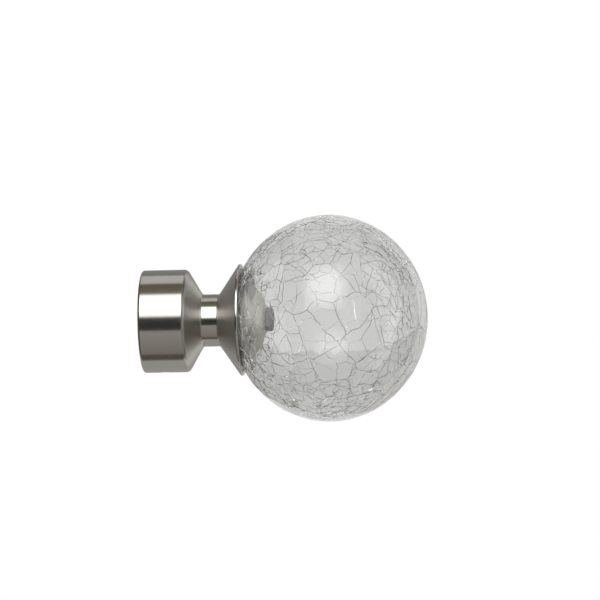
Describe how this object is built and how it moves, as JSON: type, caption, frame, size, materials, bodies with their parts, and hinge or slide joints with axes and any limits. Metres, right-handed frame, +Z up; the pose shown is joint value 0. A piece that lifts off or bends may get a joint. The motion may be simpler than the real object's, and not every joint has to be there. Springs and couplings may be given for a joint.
{
  "type": "curtain pole finial",
  "caption": "Curtain pole finial: a crackled clear glass globe on a turned satin nickel end cap that slips over the end of a round pole and is held by a grub screw.",
  "frame": {"origin": "middle of the socket floor, where the end of the pole butts", "axes": "+X along the pole axis from the pole towards the globe, +Z up with the grub screw underneath, +Y away from the viewer"},
  "size_m": [0.096, 0.0696, 0.0696],
  "materials": {
    "satin_nickel": "satin nickel plate over turned brass",
    "screw_steel": "dull zinc plate",
    "insert_aluminium": "as turned, dull",
    "clear_glass": "blown, crackled"
  },
  "bodies": {
    "root": {"turned_body": "satin_nickel", "grub_screw": "screw_steel", "centre_screw": "screw_steel", "held_nut": "screw_steel", "globe_insert": "insert_aluminium", "glass_globe": "clear_glass"}
  },
  "joints": []
}
